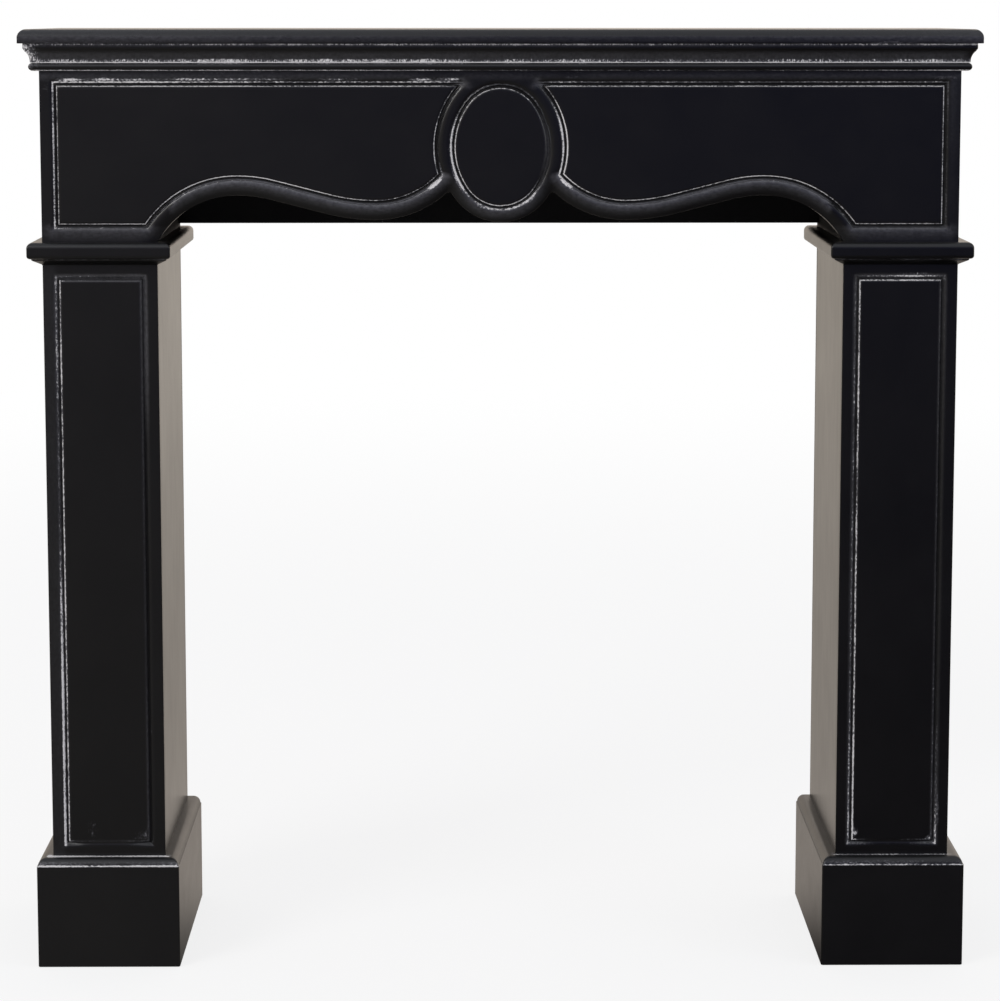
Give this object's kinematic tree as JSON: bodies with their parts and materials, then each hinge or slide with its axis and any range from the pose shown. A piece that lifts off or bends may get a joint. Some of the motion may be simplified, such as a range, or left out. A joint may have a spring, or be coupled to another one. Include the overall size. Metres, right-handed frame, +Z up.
{
  "type": "fireplace surround",
  "caption": "Free-standing wooden fireplace surround with box legs, plinths and capitals, a frieze with a serpentine edge and oval medallion, and a moulded shelf, painted black and worn.",
  "frame": {"origin": "on the floor, in the middle of the surround's overall width and depth", "axes": "+X to the right as seen from the room, -Y towards the room, +Y into the wall, +Z up"},
  "size_m": [1.02, 0.27, 1.02],
  "materials": {
    "black_paint": "satin black paint, rubbed through to a pale undercoat along the edges",
    "bare_wood": "sawn, unpainted",
    "zinc_steel": "zinc plated"
  },
  "bodies": {
    "root": {"mantel_shelf": "black_paint", "crown_front": "black_paint", "crown_left": "black_paint", "crown_right": "black_paint", "frieze_front": "black_paint", "back_rail": "black_paint", "leg_front_left": "black_paint", "leg_inner_left": "black_paint", "leg_outer_left": "black_paint", "leg_cap_left": "black_paint", "leg_brace_left": "black_paint", "leg_foot_left": "black_paint", "capital_front_left": "black_paint", "capital_inner_left": "black_paint", "capital_outer_left": "black_paint", "plinth_front_left": "black_paint", "plinth_inner_left": "black_paint", "plinth_outer_left": "black_paint", "leg_front_right": "black_paint", "leg_inner_right": "black_paint", "leg_outer_right": "black_paint", "leg_cap_right": "black_paint", "leg_brace_right": "black_paint", "leg_foot_right": "black_paint", "capital_front_right": "black_paint", "capital_inner_right": "black_paint", "capital_outer_right": "black_paint", "plinth_front_right": "black_paint", "plinth_inner_right": "black_paint", "plinth_outer_right": "black_paint", "leg_blocks_left": "bare_wood", "leg_blocks_right": "bare_wood", "shelf_blocks": "bare_wood", "joint_dowels": "bare_wood", "rail_bolts": "zinc_steel", "barrel_nuts": "zinc_steel", "shelf_screws": "zinc_steel"}
  },
  "joints": []
}
